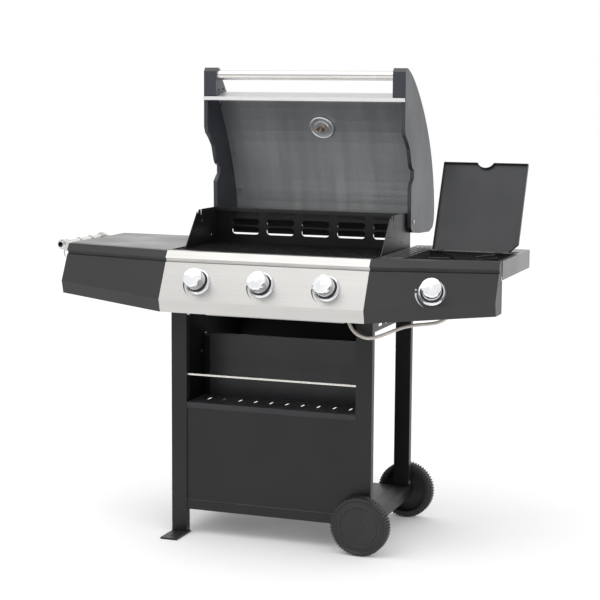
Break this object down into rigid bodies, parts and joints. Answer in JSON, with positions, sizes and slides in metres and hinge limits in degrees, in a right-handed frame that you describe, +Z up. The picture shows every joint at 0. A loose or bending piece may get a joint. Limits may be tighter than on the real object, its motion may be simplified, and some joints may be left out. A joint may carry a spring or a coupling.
{
  "type": "gas barbecue grill",
  "caption": "Free-standing gas barbecue on a wheeled cart, with a hinged hood, side tables, a lidded side burner and turning knobs.",
  "frame": {"origin": "on the floor under the middle of the whole object's box", "axes": "+X to the user's right, +Y from the front to the back, +Z up"},
  "size_m": [1.292, 0.6626, 1.287],
  "materials": {
    "black_frame": "satin black powder coat",
    "black_sheet": "satin black powder coat",
    "fascia_paint": "satin charcoal powder coat",
    "firebox_enamel": "black heat-resistant enamel",
    "cast_grate": "black enamelled cast iron",
    "burner_steel": "dull stainless steel",
    "panel_steel": "brushed stainless steel",
    "bright_wire": "chromed",
    "fastener_zinc": "zinc plated",
    "gas_brass": "machined brass",
    "gas_pipe": "dull",
    "hood_sheet": "grey enamel",
    "cheek_cast": "charcoal painted casting",
    "lid_paint": "satin charcoal powder coat",
    "wire_black": "black enamelled wire",
    "hose_rubber": "pale beige hose",
    "wheel_plastic": "moulded black plastic"
  },
  "bodies": {
    "cart": {"front_left_leg": "black_frame", "rear_left_leg": "black_frame", "front_right_leg": "black_frame", "rear_right_leg": "black_frame", "feet": "black_frame", "left_base_rail": "black_frame", "right_base_rail": "black_frame", "left_upper_rail": "black_frame", "right_upper_rail": "black_frame", "bottom_shelf": "black_sheet", "front_panel": "black_sheet", "rear_panel": "black_sheet", "storage_shelf": "black_sheet", "storage_back": "black_sheet", "storage_sides": "black_sheet", "storage_rod": "panel_steel", "axle": "fastener_zinc", "firebox_left_plate": "firebox_enamel", "firebox_right_plate": "firebox_enamel", "firebox_front_plate": "firebox_enamel", "firebox_rear_plate": "firebox_enamel", "firebox_floor": "firebox_enamel", "left_grate": "cast_grate", "right_grate": "cast_grate", "flame_tamers": "burner_steel", "burner_tubes": "burner_steel", "manifold": "gas_pipe", "valve_bodies": "gas_brass", "control_panel": "panel_steel", "knob_bezels": "bright_wire", "left_fascia": "fascia_paint", "right_fascia": "fascia_paint", "left_table": "fascia_paint", "right_table": "fascia_paint", "tool_rail": "bright_wire", "tool_hooks": "bright_wire", "side_burner": "gas_brass", "pan_support": "wire_black", "side_hose": "hose_rubber", "frame_bolts": "fastener_zinc"},
    "hood": {"hood_skin": "hood_sheet", "left_cheek": "cheek_cast", "right_cheek": "cheek_cast", "hood_handle": "panel_steel", "hood_lip": "panel_steel", "thermometer": "bright_wire", "hood_screws": "fastener_zinc"},
    "side_lid": {"side_lid": "lid_paint"},
    "front_wheel": {"front_wheel": "wheel_plastic"},
    "rear_wheel": {"rear_wheel": "wheel_plastic"},
    "grease_tray": {"grease_tray": "burner_steel"},
    "valve_plug_1": {"valve_plug_1": "fastener_zinc"},
    "knob_1": {"knob_1": "bright_wire"},
    "valve_plug_2": {"valve_plug_2": "fastener_zinc"},
    "knob_2": {"knob_2": "bright_wire"},
    "valve_plug_3": {"valve_plug_3": "fastener_zinc"},
    "knob_3": {"knob_3": "bright_wire"},
    "valve_plug_4": {"valve_plug_4": "fastener_zinc"},
    "knob_4": {"knob_4": "bright_wire"}
  },
  "joints": [
    {"name": "hood_hinge", "type": "hinge", "parent": "cart", "child": "hood", "pos_m": [0.03, 0.1164, 0.863], "axis": [1, 0, 0], "range_deg": [0, 82]},
    {"name": "side_lid_hinge", "type": "hinge", "parent": "cart", "child": "side_lid", "pos_m": [0.512, 0.0794, 0.789], "axis": [1, 0, 0], "range_deg": [0, 115]},
    {"name": "front_wheel_spin", "type": "hinge", "parent": "cart", "child": "front_wheel", "pos_m": [0.3, -0.2456, 0.08], "axis": [0, 1, 0], "continuous": true},
    {"name": "rear_wheel_spin", "type": "hinge", "parent": "cart", "child": "rear_wheel", "pos_m": [0.3, 0.1814, 0.08], "axis": [0, 1, 0], "continuous": true},
    {"name": "grease_tray_slide", "type": "slide", "parent": "cart", "child": "grease_tray", "axis": [0, 1, 0], "range_m": [0, 0.3]},
    {"name": "knob_1_turn", "type": "hinge", "parent": "cart", "child": "valve_plug_1", "pos_m": [-0.153, -0.28034, 0.713], "axis": [0, -0.8999, 0.436], "range_deg": [0, 180]},
    {"name": "knob_1_push", "type": "slide", "parent": "valve_plug_1", "child": "knob_1", "axis": [0, 0.8999, -0.436], "range_m": [0, 0.004], "stiffness_N_per_m": 600},
    {"name": "knob_2_turn", "type": "hinge", "parent": "cart", "child": "valve_plug_2", "pos_m": [0.03, -0.28034, 0.713], "axis": [0, -0.8999, 0.436], "range_deg": [0, 180]},
    {"name": "knob_2_push", "type": "slide", "parent": "valve_plug_2", "child": "knob_2", "axis": [0, 0.8999, -0.436], "range_m": [0, 0.004], "stiffness_N_per_m": 600},
    {"name": "knob_3_turn", "type": "hinge", "parent": "cart", "child": "valve_plug_3", "pos_m": [0.213, -0.28034, 0.713], "axis": [0, -0.8999, 0.436], "range_deg": [0, 180]},
    {"name": "knob_3_push", "type": "slide", "parent": "valve_plug_3", "child": "knob_3", "axis": [0, 0.8999, -0.436], "range_m": [0, 0.004], "stiffness_N_per_m": 600},
    {"name": "knob_4_turn", "type": "hinge", "parent": "cart", "child": "valve_plug_4", "pos_m": [0.485, -0.24289, 0.713], "axis": [0.2001, -0.8817, 0.4272], "range_deg": [0, 180]},
    {"name": "knob_4_push", "type": "slide", "parent": "valve_plug_4", "child": "knob_4", "axis": [-0.2001, 0.8817, -0.4272], "range_m": [0, 0.004], "stiffness_N_per_m": 600}
  ]
}
